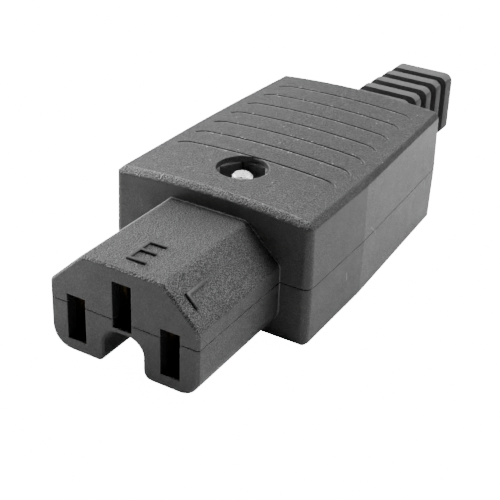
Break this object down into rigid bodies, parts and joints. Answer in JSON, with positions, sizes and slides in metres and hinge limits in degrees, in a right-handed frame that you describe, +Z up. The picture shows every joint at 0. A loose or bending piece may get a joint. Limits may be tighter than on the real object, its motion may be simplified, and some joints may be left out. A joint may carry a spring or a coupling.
{
  "type": "ac power connector",
  "caption": "Straight rewireable mains appliance connector: keyed slotted nose, two-part grip held by a screw, and a ribbed rubber cord boot.",
  "frame": {"origin": "centre of the bounding box in plan, on the flat underside of the grip", "axes": "+Y runs back from the mating face to the cord end, +X to the right seen from the mating face, +Z up from the keyway side to the side with the nut recess"},
  "size_m": [0.0308, 0.091, 0.0191],
  "materials": {
    "shell_plastic": "fine spark-eroded grain",
    "boot_rubber": "matt",
    "clamp_plastic": "satin",
    "contact_brass": "rolled strip",
    "terminal_brass": "machined",
    "spring_steel": "rolled strip",
    "screw_steel": "bright zinc plate"
  },
  "bodies": {
    "root": {"cord_boot": "boot_rubber", "cord_clamp": "clamp_plastic", "earth_contact": "contact_brass", "earth_contact_spring": "spring_steel", "earth_terminal": "terminal_brass", "earth_terminal_screw": "screw_steel", "housing_nut": "screw_steel", "housing_screw": "screw_steel", "left_clamp_screw": "screw_steel", "live_contact": "contact_brass", "live_contact_spring": "spring_steel", "live_terminal": "terminal_brass", "live_terminal_screw": "screw_steel", "lower_shell": "shell_plastic", "neutral_contact": "contact_brass", "neutral_contact_spring": "spring_steel", "neutral_terminal": "terminal_brass", "neutral_terminal_screw": "screw_steel", "right_clamp_screw": "screw_steel", "upper_shell": "shell_plastic"}
  },
  "joints": []
}
